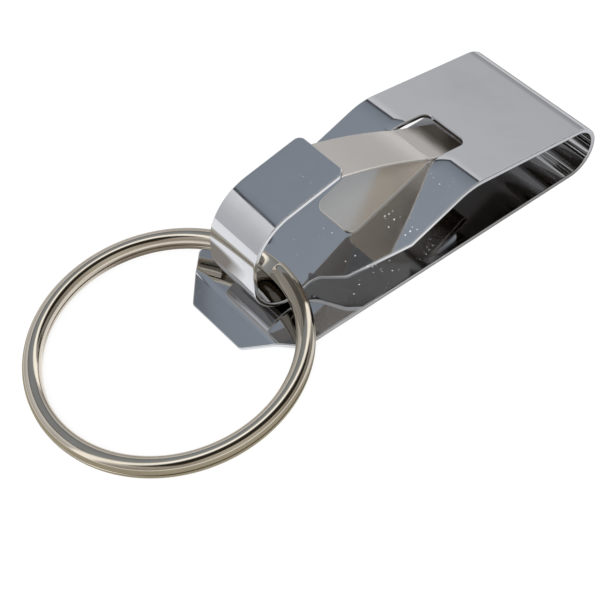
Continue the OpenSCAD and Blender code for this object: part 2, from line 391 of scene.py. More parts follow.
@dataclass(frozen=True)
class RingSize:
    """Sizes of the split ring in millimetres, the same as the part's."""

    ring_d: float = 32.3
    wire_w: float = 2.1
    ring_h: float = 2.5
    turn_gap: float = 0.04
    flat: float = 0.12
    trim: float = 0.02
    edge_r: float = 0.09
    jog: float = radians(12)
    cut: float = radians(3.5)
    turned: float = radians(13.5)
    pin: Point = (-5.3757, 4.58726)
    tilt: float = radians(6.14367)


class Shop:
    """Edit-mode helpers that every sub-assembly shares."""

    @staticmethod
    def mode(name: str) -> None:
        """Switch to OBJECT or to EDIT mode."""
        bpy.ops.object.mode_set(mode=name)

    @staticmethod
    def clear() -> None:
        """Leave edit mode and deselect every object."""
        if bpy.context.mode != "OBJECT":
            Shop.mode("OBJECT")
        bpy.ops.object.select_all(action="DESELECT")

    @staticmethod
    def apply() -> None:
        """Apply the place, turn and scale of the selected object to its mesh."""
        bpy.ops.object.transform_apply(location=True, rotation=True, scale=True)

    @staticmethod
    def only(obj: Object) -> None:
        """Make one object the only selected and the active one.

        Args:
            obj: The object.
        """
        Shop.clear()
        obj.select_set(True)
        bpy.context.view_layer.objects.active = obj

    @staticmethod
    def modifier(obj: Object, kind: str, **settings: object) -> None:
        """Add a modifier and apply it.

        Args:
            obj: The object that gets it.
            kind: The modifier's type.
            settings: Values of its properties.
        """
        Shop.only(obj)
        mod = obj.modifiers.new(kind.title(), kind)
        for key, value in settings.items():
            setattr(mod, key, value)
        bpy.ops.object.modifier_apply(modifier=mod.name)

    @staticmethod
    def every() -> None:
        """Select all of the mesh in edit mode."""
        bpy.ops.mesh.select_all(action="SELECT")

    @staticmethod
    def close(threshold: float) -> None:
        """Merge doubled vertices, turn every face the same way and leave edit mode.

        Args:
            threshold: Largest distance of two doubles in millimetres.
        """
        Shop.every()
        bpy.ops.mesh.remove_doubles(threshold=threshold * MM)
        Shop.every()
        bpy.ops.mesh.normals_make_consistent(inside=False)
        Shop.mode("OBJECT")

    @staticmethod
    def settle(obj: Object, name: str, width: float, segments: int, limit: float = SHARP) -> Object:
        """Round a mesh's sharp edges, set its origin to the frame's, and smooth and name it.

        Args:
            obj: The object.
            name: Name for the object and its mesh.
            width: Width of the bevel in millimetres.
            segments: Faces across it.
            limit: Least angle of a sharp edge in radians.

        Returns:
            The object.
        """
        Shop.modifier(obj, "BEVEL", width=width * MM, segments=segments, limit_method="ANGLE",
                      angle_limit=limit, use_clamp_overlap=False)
        Shop.apply()
        bpy.ops.object.shade_smooth_by_angle(angle=SMOOTH)
        Shop.modifier(obj, "WEIGHTED_NORMAL", keep_sharp=True, weight=90, thresh=0.001)
        obj.name = obj.data.name = name
        return obj

    @staticmethod
    def select_where(obj: Object, test: Callable[..., bool], kind: str = "EDGE") -> None:
        """Select the edges or vertices that pass a test, in edit mode.

        Args:
            obj: The object in edit mode.
            test: Function of an edge's two ends, or of a vertex, in metres.
            kind: EDGE or VERT.
        """
        bpy.ops.mesh.select_mode(type=kind)
        bpy.ops.mesh.select_all(action="DESELECT")
        Shop.mode("OBJECT")
        edges = kind == "EDGE"
        vertices = obj.data.vertices
        for part in obj.data.edges if edges else vertices:
            ends = [vertices[i].co for i in part.vertices] if edges else [part.co]
            part.select = bool(test(*ends))
        Shop.mode("EDIT")

    @staticmethod
    def round_edges(obj: Object, test: Callable[..., bool], radius: float, segments: int) -> None:
        """Round the edges of an object that pass a test.

        Args:
            obj: The object.
            test: Function of an edge's two ends in metres.
            radius: Distance from the edge to where the rounding starts, in millimetres.
            segments: Faces across the rounding.
        """
        Shop.only(obj)
        Shop.mode("EDIT")
        Shop.select_where(obj, test)
        bpy.ops.mesh.bevel(offset=radius * MM, segments=segments, affect="EDGES")
        Shop.mode("OBJECT")

    @staticmethod
    def round_corners(obj: Object, place: FrameSize, outline: Profile, radii: list[float]) -> None:
        """Round the corners of a solid sheet, on both sides of its middle.

        Args:
            obj: The sheet.
            place: Where strip coordinates lie in the frame.
            outline: Half outline, whose inner points are the corners.
            radii: Radius at each point of the outline, 0 to leave it sharp.
        """
        for i, radius in enumerate(radii):
            if not radius:
                continue
            corner = place.place(outline[i][0], 0)
            half = outline[i][1] * MM

            def stands(a: Vector, b: Vector) -> bool:
                """Whether an edge stands at the corner."""
                mid, way = (a + b) / 2, a - b
                offs = abs(abs(mid.y - corner.y) - half), abs(way.y), abs(mid.x - corner.x)
                return max(offs) < NEAR and way.length > 3 * NEAR

            back = setback(outline[i - 1], outline[i], outline[i + 1], radius)
            Shop.round_edges(obj, stands, back, CORNER_SEGMENTS)


@dataclass
class StripBuilder:
    """Runs and bends one row of vertices along a sheet's middle line."""

    at: Point
    direction: float
    half: float
    columns: int
    place: FrameSize

    least = 0.12
    inside = 1e-4
    doubled = 0.002

    def __post_init__(self) -> None:
        """Lay the first row, with a face for each column across the strip."""
        Shop.clear()
        bpy.ops.mesh.primitive_grid_add(x_subdivisions=1, y_subdivisions=self.columns,
                                        size=2 * MM, location=self.place.place(*self.at))
        self.obj = bpy.context.active_object
        Shop.mode("EDIT")
        Shop.select_where(self.obj, lambda v: v.x < 0, "VERT")
        bpy.ops.mesh.delete(type="VERT")
        Shop.every()
        bpy.ops.transform.translate(value=(-MM, 0, 0))
        self._widen(self.half)

    def _widen(self, ratio: float) -> None:
        """Stretch the row across the strip."""
        if abs(ratio - 1) > SAME:
            centre = self.place.place(*self.at)
            bpy.ops.transform.resize(value=(1, ratio, 1), center_override=centre)

    def _to_width(self, half: float) -> None:
        """Bring the row to a new half width."""
        self._widen(half / self.half)
        self.half = half

    def run(self, length: float, half: float | None = None) -> None:
        """Extrude the row straight ahead.

        Args:
            length: Distance in millimetres.
            half: Half width at the end of the run, or None to keep it.
        """
        dx, dz = length * cos(self.direction), length * sin(self.direction)
        bpy.ops.mesh.extrude_region_move(TRANSFORM_OT_translate={"value": (dx * MM, 0, dz * MM)})
        self.at = self.at[0] + dx, self.at[1] + dz
        if half is not None:
            self._to_width(half)

    def bend(self, angle: float, radius: float, step: float,
             profile: Profile | None = None) -> None:
        """Spin the row round a bend.

        Args:
            angle: Turn in radians, positive to the left.
            radius: Radius to the middle of the sheet.
            step: Largest angle between two rows in radians.
            profile: Half outline that the rows follow, or None to keep the width.
        """
        side = 1 if angle > 0 else -1
        m = (self.at[0] - side * radius * sin(self.direction),
             self.at[1] + side * radius * cos(self.direction))
        n = max(1, ceil(abs(angle) / step))
        rounds = n if profile else 1
        for k in range(rounds):
            part = angle / rounds
            bpy.ops.mesh.spin(steps=n // rounds, angle=part, center=self.place.place(*m),
                              axis=(0, 1, 0), use_auto_merge=False)
            self.at = onward(m, self.direction - side * pi / 2 + part, radius)
            self.direction += part
            if profile:
                self._to_width(width_at(profile, self.at[0]))

    def follow(self, end: Point, profile: Profile) -> None:
        """Run straight to a point with rows wherever the outline has a corner.

        Args:
            end: Where the run ends.
            profile: Half outline that the rows follow.
        """
        x0, x1 = self.at[0], end[0]
        low, high = min(x0, x1) + self.inside, max(x0, x1) - self.inside
        stops = sorted({round(x, 6) for x, _ in profile if low < x < high}, reverse=x1 < x0)
        for x in (*stops, x1):
            ahead = abs(x - self.at[0])
            if min(ahead, abs(x - x1)) > self.least or (x == x1 and ahead > SAME):
                self.run(ahead / abs(cos(self.direction)), width_at(profile, x))

    def run_to(self, end: Point) -> None:
        """Extrude the row straight ahead, as far as a point lies."""
        length = dist(end, self.at)
        if length > STEADY:
            self.run(length)

    def corner(self, points: list[Point], radius: float, step: float,
               profile: Profile | None = None) -> None:
        """Run to a corner's bend and bend round it.

        Args:
            points: Point before the corner, the corner, and the point after it.
            radius: Radius of the bend.
            step: Largest angle between two rows.
            profile: Half outline on the way, or None to keep the width.
        """
        a, b, c = points
        start = onward(b, heading(a, b), -setback(a, b, c, radius))
        varies = False
        if profile:
            self.follow(start, profile)
            varies = abs(width_at(profile, start[0]) - width_at(profile, start[0] + 1)) > STEADY
        else:
            self.run_to(start)
        self.bend(turn_at(a, b, c), radius, step, profile if varies else None)
        self.direction = heading(b, c)

    def thicken(self, thickness: float) -> Object:
        """Clean the strip and give it its thickness on both sides of the middle.

        Args:
            thickness: Sheet thickness in millimetres.

        Returns:
            The solid strip.
        """
        Shop.close(self.doubled)
        Shop.modifier(self.obj, "SOLIDIFY", thickness=thickness * MM, offset=0,
                      use_even_offset=True, use_rim=True)
        Shop.apply()
        return self.obj


@dataclass
class Finish:
    """Node helpers for the tree of a material, a world or a node group."""

    tree: NodeTree

    @classmethod
    def fresh(cls, owner: ID, output: str) -> tuple[Finish, NodeSocket]:
        """Empty an owner's tree and give it an output node.

        Args:
            owner: A material or a world.
            output: Type of the output node without its ShaderNode prefix.

        Returns:
            The helper of the tree and the input for the surface's shader.
        """
        owner.use_nodes = True
        owner.node_tree.nodes.clear()
        kit = cls(owner.node_tree)
        return kit, kit.node(output).inputs["Surface"]

    def put(self, target: NodeSocket, value: Feed) -> None:
        """Link an output to an input, or set the input to a plain value.

        Args:
            target: Input socket.
            value: Output socket, number, vector or colour.
        """
        if isinstance(value, NodeSocket):
            self.tree.links.new(value, target)
        elif isinstance(value, tuple):
            target.default_value = (*value, 1)[:len(target.default_value)]
        else:
            target.default_value = value

    def node(self, kind: str, *values: Feed, **inputs: object) -> Node:
        """Add a node and set its properties and inputs.

        Args:
            kind: The node's type without its ShaderNode prefix.
            values: Inputs from the first on.
            inputs: Properties by name, or inputs by name with spaces as underscores.

        Returns:
            The node.
        """
        made = self.tree.nodes.new("ShaderNode" + kind)
        for key, value in inputs.items():
            if hasattr(made, key):
                setattr(made, key, value)
            else:
                self.put(made.inputs[key.replace("_", " ")], value)
        for socket, value in zip(made.inputs, values):
            self.put(socket, value)
        return made

    def maths(self, operation: str, *values: Feed, use_clamp: bool = False) -> NodeSocket:
        """Result of a calculation with numbers."""
        return self.node("Math", *values, operation=operation, use_clamp=use_clamp).outputs[0]

    def mix(self, factor: Feed, first: Feed, second: Feed, blend: str = "MIX") -> NodeSocket:
        """Blend two colours.

        Args:
            factor: Share of the second colour.
            first: First colour.
            second: Second colour.
            blend: Way of blending.

        Returns:
            The blended colour.
        """
        made = self.node("Mix", factor, data_type="RGBA", blend_type=blend)
        for socket, colour in zip(made.inputs[6:8], (first, second)):
            self.put(socket, colour)
        return made.outputs[2]

    def either(self, factor: Feed, first: Feed, second: Feed) -> NodeSocket:
        """Mix of two shaders, with a factor for the share of the second."""
        return self.node("MixShader", factor, first, second).outputs[0]

    def stretch(self, value: Feed, low: float, high: float, **more: object) -> NodeSocket:
        """Value mapped from low and high to 0 and 1, or as the node's other settings say."""
        return self.node("MapRange", value, low, high, **more).outputs[0]

    def between(self, value: Feed, rise: Span, fall: Span) -> NodeSocket:
        """Mask of the stretch between two soft edges.

        Args:
            value: The place or direction.
            rise: Where the mask starts and where it is full.
            fall: Where it starts to fade and where it ends.

        Returns:
            The mask.
        """
        up = self.stretch(value, *rise, interpolation_type="SMOOTHSTEP")
        down = self.stretch(value, fall[1], fall[0], interpolation_type="SMOOTHSTEP")
        return self.maths("MULTIPLY", up, down)

    def far_from(self, point: Triple, at: Feed) -> NodeSocket:
        """Distance of the shaded place from a point, in metres."""
        return self.node("VectorMath", at, point, operation="DISTANCE").outputs["Value"]

    def noise(self, at: Feed, scale: float, detail: float, roughness: float) -> NodeSocket:
        """Value of a noise texture."""
        made = self.node("TexNoise", Vector=at, Scale=scale, Detail=detail, Roughness=roughness)
        return made.outputs["Fac"]

    def ramp(self, value: Feed, stops: Tones) -> NodeSocket:
        """Map a value through a colour ramp.

        Args:
            value: The value.
            stops: Position and colour of each stop.

        Returns:
            The ramp's colour.
        """
        made = self.node("ValToRGB", Fac=value)
        elements = made.color_ramp.elements
        for element, (place, colour) in zip(elements, (stops[0], stops[-1])):
            element.position = place
            element.color = (*colour, 1)
        for place, colour in stops[1:-1]:
            elements.new(place).color = (*colour, 1)
        return made.outputs["Color"]


def wear_group() -> NodeTree:
    """Node group with the marks of handling, shared by the three finishes.

    Returns:
        The group, which puts out scuffs, smudges, specks and a wavy height.
    """
    group = bpy.data.node_groups.new("handling_marks", "ShaderNodeTree")
    kit = Finish(group)
    at = kit.node("TexCoord").outputs["Object"]
    drawn = kit.node("Mapping", at, Scale=(1, 14, 1), Rotation=(0, 0, 0.35)).outputs["Vector"]
    grains = kit.node("TexVoronoi", Vector=at, Scale=SPECK_SCALE).outputs["Distance"]
    settled = kit.maths("MULTIPLY", kit.stretch(kit.noise(at, *DUST_NOISE), *DUST_RANGE),
                        kit.stretch(kit.far_from(DUSTY_PLACE, at), *DUSTY_REACH))
    marks = {
        "Scuffs": kit.stretch(kit.noise(drawn, *SCUFF_NOISE), *SCUFF_RANGE),
        "Smudges": kit.stretch(kit.noise(at, *SMUDGE_NOISE), *SMUDGE_RANGE),
        "Specks": kit.maths("MULTIPLY", kit.stretch(grains, *SPECK_RANGE), settled),
        "Waves": kit.noise(at, *WAVE_NOISE),
    }
    for name in marks:
        group.interface.new_socket(name, in_out="OUTPUT", socket_type="NodeSocketFloat")
    out = group.nodes.new("NodeGroupOutput")
    for name, mark in marks.items():
        kit.put(out.inputs[name], mark)
    return group


@dataclass(frozen=True)
class MetalFinish:
    """Colours and strengths of one steel finish."""

    name: str
    slot: Slot
    clean: Triple
    dull: Triple
    gloss: float
    smudge_gloss: float
    wave: float
    grain: float = 0.0
    grain_stretch: Triple = (1, 1, 1)
    dust: float = 0.0
    metal: float = 1.0
    # Where along X, in millimetres, painted shade on the piece starts and where it is full; 0 for
    # none.
    painted_shade_from: float = 0.0
    painted_shade_to: float = 0.0

    def material(self, marks: NodeTree) -> Material:
        """Make the finish as a material.

        Args:
            marks: The shared group of handling marks.

        Returns:
            The material.
        """
        mat = bpy.data.materials.new(self.name)
        kit, surface = Finish.fresh(mat, "OutputMaterial")
        shader = kit.node("BsdfPrincipled", Metallic=self.metal)
        kit.put(surface, shader.outputs["BSDF"])
        wear = kit.tree.nodes.new("ShaderNodeGroup")
        wear.node_tree = marks
        mark = wear.outputs
        at = kit.node("TexCoord").outputs["Object"]
        colour = kit.mix(mark["Smudges"], self.clean, self.dull)
        if self.dust:
            dust = kit.maths("MULTIPLY", mark["Specks"], self.dust, use_clamp=True)
            colour = kit.mix(dust, colour, DUST)
            kit.put(shader.inputs["Metallic"], kit.maths("SUBTRACT", self.metal, dust))
        # Painted shade: the leaf darkens along X where it dives under the front plate into the
        # slot.
        if self.painted_shade_to:
            along = kit.node("SeparateXYZ", Vector=at).outputs["X"]
            tucked_shade = kit.stretch(along, self.painted_shade_from * MM, self.painted_shade_to * MM)
            colour = kit.mix(tucked_shade, colour, PAINTED_SHADE)
        kit.put(shader.inputs["Base Color"], colour)
        rough = kit.stretch(mark["Smudges"], 0.0, 1.0, To_Min=self.gloss, To_Max=self.smudge_gloss)
        rough = kit.maths("MULTIPLY_ADD", mark["Scuffs"], SCUFF_GLOSS, rough)
        kit.put(shader.inputs["Roughness"], rough)
        bump = kit.node("Bump", Strength=1.0, Distance=self.wave * MM, Height=mark["Waves"])
        if self.grain:
            lines = kit.node("Mapping", Vector=at, Scale=self.grain_stretch).outputs["Vector"]
            bump = kit.node("Bump", Strength=1.0, Distance=self.grain * MM,
                            Height=kit.noise(lines, *GRAIN_NOISE), Normal=bump.outputs["Normal"])
        kit.put(shader.inputs["Normal"], bump.outputs["Normal"])
        return mat


CHROME = MetalFinish("bright_chrome", Slot.CLIP_STEEL, (0.65, 0.66, 0.68), (0.61, 0.62, 0.64),
                     gloss=0.035, smudge_gloss=0.13, wave=0.004, dust=0.9)
# The satin leaf carries painted shade from 17.2 to 19.6 mm along X, where it goes under the plate.
SATIN = MetalFinish("satin_spring_steel", Slot.LEAF_STEEL, (0.78, 0.74, 0.69), (0.72, 0.68, 0.63),
                    gloss=0.19, smudge_gloss=0.26, wave=0.003, grain=0.0005,
                    grain_stretch=(0.12, 2.2, 0.12), metal=0.85, painted_shade_from=17.2, painted_shade_to=19.6)
NICKEL = MetalFinish("bright_nickel_wire", Slot.RING_STEEL, (0.62, 0.565, 0.48),
                     (0.54, 0.485, 0.40), gloss=0.07, smudge_gloss=0.14, wave=0.002, grain=0.0003)


@dataclass
class Piece:
    """One visible piece that stands for one node of the frame."""

    place: FrameSize

    name = "piece"
    node = "node"
    body = Body.CLIP
    finish = CHROME

    def build(self) -> Object:
        """Model the piece and return its finished mesh object."""
        raise NotImplementedError

    def dress(self, obj: Object, materials: dict[Slot, Material]) -> None:
        """Give the piece its finish and tie it to the frame.

        Args:
            obj: The piece.
            materials: The material of each slot.
        """
        obj.data.materials.clear()
        obj.data.materials.append(materials[self.finish.slot])
        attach(obj, self.body.value)
        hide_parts(self.node)
        LOG.info("%s: %d faces", obj.name, len(obj.data.polygons))


@dataclass
class ClipBody(Piece):
    """The body, bent from one strip: lip, back plate, fold, front plate and hook."""

    size: ClipSize

    name = "clip_body_sheet"
    node = "clip_body"
    lip_step = radians(4)
    punch_z = 8
    punch_h = 6

    def outlines(self) -> tuple[Profile, Profile, Profile]:
        """Half outlines of the back plate, the front plate and the hook.

        Returns:
            The three half outlines.
        """
        s = self.size
        half = s.strip_w / 2
        end = s.lip_end[0]
        back = [(end, 0), (end, s.end_w / 2), (end + s.corner_l, half), (0, half)]
        shoulder = s.neck_x + s.shoulder_l
        front = [(0, half), (shoulder + s.taper_l, half), (shoulder, s.taper_w / 2),
                 (s.neck_x, s.hook_w / 2), (-s.hook_l, s.hook_w / 2)]
        tip = [(-s.hook_l, s.hook_w / 2), (s.tip_x, s.hook_w / 2), (s.tip_x, 0)]
        return back, front, tip

    def build(self) -> Object:
        """Model the body as one continuous strip.

        Returns:
            The finished mesh object.
        """
        s = self.size
        back, front, tip = self.outlines()
        start = heading(s.lip_end, s.lip_bend)
        strip = StripBuilder(s.lip_end, start, s.end_w / 2, 4, self.place)
        strip.corner([s.lip_end, s.lip_bend, s.back_start], s.lip_r, self.lip_step, back[1:])
        strip.follow(s.back_start, back[1:])
        strip.bend(pi + s.back_rise - s.front_rise, s.fold_r, FINE)
        strip.corner([s.front_start, s.crest, s.hook_low], s.crest_r, FINE, front)
        strip.corner([s.crest, s.hook_low, s.hook_high], s.hook_bend_r, FINE, front)
        strip.corner([s.hook_low, s.hook_high, s.tip_end], s.top_bend_r, FINE)
        strip.run_to(s.tip_end)
        obj = strip.thicken(s.strip_t)
        Shop.round_corners(obj, self.place, back, [0, s.end_r, s.end_r])
        Shop.round_corners(obj, self.place, front, [0, 0, s.shoulder_r, s.neck_r])
        Shop.round_corners(obj, self.place, tip, [0, s.tip_r])
        self._cut_slot(obj)
        return Shop.settle(obj, self.name, s.edge_r, 4)

    def _cut_slot(self, obj: Object) -> None:
        """Punch the slot with its rounded corners through the front plate.

        Args:
            obj: The body.
        """
        s = self.size
        middle = self.place.place(s.slot_x + s.slot_l / 2, self.punch_z)
        Shop.clear()
        bpy.ops.mesh.primitive_cube_add(size=1, location=middle)
        punch = bpy.context.active_object
        punch.scale = (s.slot_l * MM, s.slot_w * MM, self.punch_h * MM)
        Shop.apply()
        Shop.round_edges(punch, lambda a, b: abs(a.z - b.z) > MM, s.slot_r, CORNER_SEGMENTS)
        Shop.modifier(obj, "BOOLEAN", operation="DIFFERENCE", object=punch, solver="EXACT")
        Shop.only(punch)
        bpy.ops.object.delete()


@dataclass
class LeafAnchor(Piece):
    """Lower leg of the spring leaf with its hump and the crown tucked in the slot."""

    clip: ClipSize
    leaf: LeafSize

    name = "leaf_lower_leg"
    node = "gate_anchor"
    finish = SATIN
    bend_step = radians(5)

    def __post_init__(self) -> None:
        """Move the leaf to its own place across the strip."""
        self.place = FrameSize(self.place.origin_x, self.place.side - self.leaf.leaf_side)

    def path(self) -> tuple[Point, ...]:
        """Corners of the leaf's middle line.

        Returns:
            The end of the leg, the hump, the crown's two corners, the root and the crease.
        """
        c, f = self.clip, self.leaf
        a = c.slope_fall
        lift = (c.strip_t + f.leaf_t) / 2 / cos(a)
        leg_x = c.slot_x - f.leg_l * cos(a)
        leg = (leg_x, c.slope_z(leg_x) + lift)
        hump_x = c.slot_x + f.hump_r * tan(f.hump_a / 2) * cos(a)
        hump = (hump_x, c.slope_z(hump_x) + lift)
        near = c.slot_x + c.slot_l
        under = c.front_z(near) - c.strip_t / 2 / cos(c.front_rise) - f.crown_gap
        rise = (hump_x - c.slot_x) * tan(f.hump_a / 2)
        flex = (c.slot_x, hump[1] + f.leaf_t + f.leaf_gap + rise)
        root = (near, under - f.leaf_t / 2 / cos(a))
        crown_x = near + f.crown_tuck
        high = (crown_x, root[1] - f.crown_tuck * tan(-heading(flex, root)))
        low = (crown_x, hump[1] - (crown_x - hump_x) * tan(f.hump_a - a))
        return leg, hump, low, high, root, flex

    def build(self) -> Object:
        """Model the lower leg and the crown as one strip.

        Returns:
            The finished mesh object.
        """
        f = self.leaf
        half = f.leaf_w / 2
        leg, hump, low, high, root, flex = self.path()
        sharp = abs(turn_at(hump, low, high)), abs(turn_at(low, high, flex))
        crown_r = (high[1] - low[1]) / (tan(sharp[0] / 2) + tan(sharp[1] / 2))
        parting = onward(flex, heading(flex, root), f.leaf_t / 2 + f.flex_gap)
        strip = StripBuilder(leg, heading(leg, hump), half, 2, self.place)
        corners = [leg, hump, low, high, parting]
        for i, radius in enumerate((f.hump_r, crown_r, crown_r)):
            strip.corner(corners[i:i + 3], radius, self.bend_step)
        strip.run_to(parting)
        obj = strip.thicken(f.leaf_t)
        outline = [(leg[0], 0), (leg[0], half), (0, half)]
        Shop.round_corners(obj, self.place, outline, [0, f.leg_r])
        return Shop.settle(obj, self.name, f.edge_r, 3)


class Gate(LeafAnchor):
    """Upper leg of the spring leaf, the gate that closes the hook."""

    name = "leaf_gate"
    node = "gate_leaf"
    body = Body.GATE
    arch_step = radians(0.5)
    past = 0.02

    def build(self) -> Object:
        """Model the gate as one arched strip with a rounded nose at its crease.

        Returns:
            The finished mesh object.
        """
        c, f = self.clip, self.leaf
        flex = self.path()[-1]
        half = f.leaf_w / 2
        down = c.strip_t / 2 + f.gate_gap + f.leaf_t / 2
        lap = onward(c.tip_end, heading(c.tip_end, c.hook_high), f.gate_lap)
        end = (lap[0] + down * sin(c.tip_rise), lap[1] - down * cos(c.tip_rise))
        chord = dist(flex, end)
        radius = (chord * chord / 4 + f.gate_arch * f.gate_arch) / 2 / f.gate_arch
        sweep = 2 * asin(chord / 2 / radius)
        start = heading(flex, end) - sweep / 2
        strip = StripBuilder(onward(flex, start, -f.nose_l), start, half, 2, self.place)
        strip.run(f.nose_l)
        strip.bend(sweep, radius, self.arch_step)
        obj = strip.thicken(f.leaf_t)
        outline = [(flex[0], half), (end[0], half), (end[0], 0)]
        Shop.round_corners(obj, self.place, outline, [0, f.gate_r])
        limit = self.place.place(flex[0] + self.past, 0).x
        Shop.round_edges(obj, lambda a, b: min(a.x, b.x) > limit and abs(a.y - b.y) > MM / 2,
                         f.nose_r, 4)
        return Shop.settle(obj, self.name, f.edge_r, 3)


@dataclass
class SplitRing(Piece):
    """The split ring: one flat wire wound two turns with a step between them."""

    size: RingSize

    name = "split_ring_wire"
    node = "split_ring"
    body = Body.RING
    finish = NICKEL
    section_segments = 10
    squareness = 0.55
    turn_steps = 150
    jog_steps = 16
    doubled = 0.001
    sharp = radians(60)
    on_plane = 2e-7
    off_line = 1e-8

    def build(self) -> Object:
        """Wind the wire, whose two turns are polished to one round rim.

        Returns:
            The finished mesh object.
        """
        s = self.size
        wire_h = (s.ring_h - s.turn_gap) / 2
        middle = (s.ring_d - s.wire_w) / 2
        domed = wire_h - s.flat - s.trim
        waist = s.turn_gap / 2 + s.flat
        Shop.clear()
        bpy.ops.mesh.primitive_plane_add(size=2 * MM, location=ORIGIN)
        obj = bpy.context.active_object
        Shop.mode("EDIT")
        Shop.every()
        bpy.ops.mesh.bevel(offset=MM, segments=self.section_segments, profile=self.squareness,
                           affect="VERTICES")
        Shop.every()
        bpy.ops.mesh.remove_doubles(threshold=self.doubled * MM)
        Shop.every()
        bpy.ops.mesh.delete(type="ONLY_FACE")
        Shop.every()
        bpy.ops.transform.resize(value=((s.wire_w - s.trim) / 2, 1, 1), center_override=ORIGIN)
        bpy.ops.transform.rotate(value=-pi / 2, orient_axis="X", center_override=ORIGIN)
        bpy.ops.transform.translate(value=(middle * MM, 0, -waist * MM))
        begin = s.jog + s.cut
        bpy.ops.transform.rotate(value=-begin, orient_axis="Z", center_override=ORIGIN)
        self._shape(obj, begin, -waist, (s.flat, domed))
        sweep = 2 * pi - 2 * s.jog - s.cut
        self._spin(sweep, self.turn_steps)
        level, upper, lower = -waist, s.flat, domed
        for k in range(1, self.jog_steps + 1):
            u = k / self.jog_steps
            u = u * u * (3 - 2 * u)
            self._spin(2 * s.jog / self.jog_steps, 1)
            angle = -s.jog + 2 * s.jog * k / self.jog_steps
            at = -waist + 2 * waist * u
            bpy.ops.transform.translate(value=(0, 0, (at - level) * MM))
            level = at
            up, down = s.flat + (domed - s.flat) * u, domed + (s.flat - domed) * u
            self._shape(obj, angle, level, (up / upper, down / lower))
            upper, lower = up, down
        self._spin(sweep, self.turn_steps)
        bpy.ops.mesh.edge_face_add()
        self._end(obj, begin, lambda z: z < 0)
        bpy.ops.mesh.edge_face_add()
        Shop.close(self.doubled)
        obj.matrix_world = (Matrix.Translation((s.pin[0] * MM, 0, s.pin[1] * MM))
                            @ Matrix.Rotation(-s.tilt, 4, "Y")
                            @ Matrix.Translation((-middle * MM, 0, 0))
                            @ Matrix.Rotation(s.turned, 4, "Z"))
        return Shop.settle(obj, self.name, s.edge_r, 3, self.sharp)

    def _shape(self, obj: Object, angle: float, waist: float, ratios: Span) -> None:
        """Stretch the upper and the lower dome of the section at an end.

        Args:
            obj: The ring in edit mode.
            angle: Where the section stands round the ring.
            waist: Height of the section's widest line in millimetres.
            ratios: Stretch of the upper and of the lower dome.
        """
        line = waist * MM
        centre = (0, 0, line)
        for way, ratio in zip((1, -1), ratios):
            self._end(obj, angle, lambda z: (z - line) * way > self.off_line)
            bpy.ops.transform.resize(value=(1, 1, ratio), center_override=centre)
        self._end(obj, angle, lambda z: True)

    def _end(self, obj: Object, angle: float, wanted: Callable[[float], bool]) -> None:
        """Select vertices of the section that stands at an angle.

        Args:
            obj: The ring in edit mode.
            angle: Where the section stands round the ring.
            wanted: Test of a vertex's height in metres.
        """
        along = Vector((cos(angle), sin(angle), 0))
        across = Vector((-sin(angle), cos(angle), 0))
        Shop.select_where(obj, lambda v: abs(v.dot(across)) < self.on_plane
                          and v.dot(along) > 0 and wanted(v.z), "VERT")

    @staticmethod
    def _spin(angle: float, steps: int) -> None:
        """Spin the selected section about the ring's own axis, through an angle in steps."""
        bpy.ops.mesh.spin(steps=steps, angle=-angle, center=ORIGIN, axis=(0, 0, 1),
                          use_auto_merge=False)


@dataclass(frozen=True)
class ShotSize:
    """Camera fitted to the photograph, table and lamp, in metres, radians and watts."""

    target: Triple = (-0.0017657, 0.0006, -0.00414)
    camera: Triple = (-0.0729857, -0.09603, 0.13464)
    roll: float = radians(-4.01)
    focal: float = 1569.6
    pixels: int = 600
    sensor: float = 36.0
    clip_start: float = 0.01
    clip_end: float = 10
    table_w: float = 3
    table_z: float = -0.00002
    lamp: Triple = (-0.30, -0.35, 0.55)
    lamp_w: float = 0.3
    lamp_power: float = 5.5


